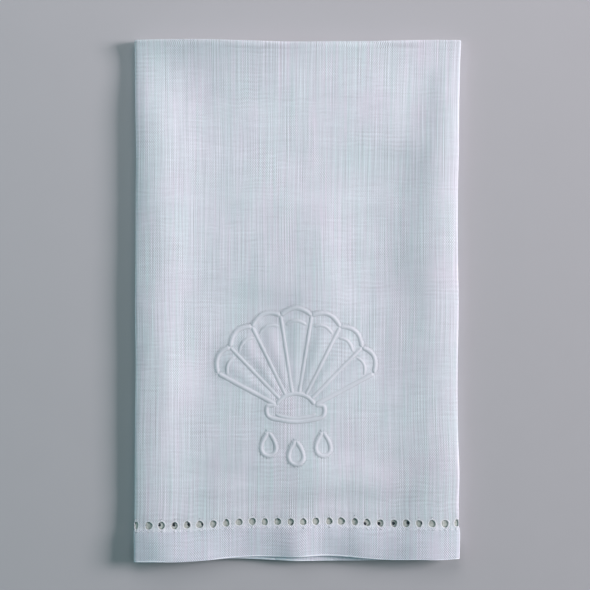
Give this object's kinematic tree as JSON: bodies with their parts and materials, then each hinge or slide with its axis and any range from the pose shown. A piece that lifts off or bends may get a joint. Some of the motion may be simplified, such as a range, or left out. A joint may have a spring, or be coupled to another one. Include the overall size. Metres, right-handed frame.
{
  "type": "folded linen napkin",
  "caption": "White linen baptismal napkin folded flat, its side panels turned behind and its hem marked by a row of round openwork eyelets, with a raised white shell motif.",
  "frame": {"origin": "middle of the underside of the folded napkin", "axes": "+X to the right of the shown face, +Y from the hem to the crosswise fold, +Z out of the shown face"},
  "size_m": [0.1196, 0.1908, 0.0063],
  "materials": {
    "linen": "fine plain-woven white linen with slubs, matt, with a cool cast",
    "thread": "white embroidery cotton, satin-stitched, with a soft sheen"
  },
  "bodies": {
    "root": {"napkin": "linen"}
  },
  "joints": []
}
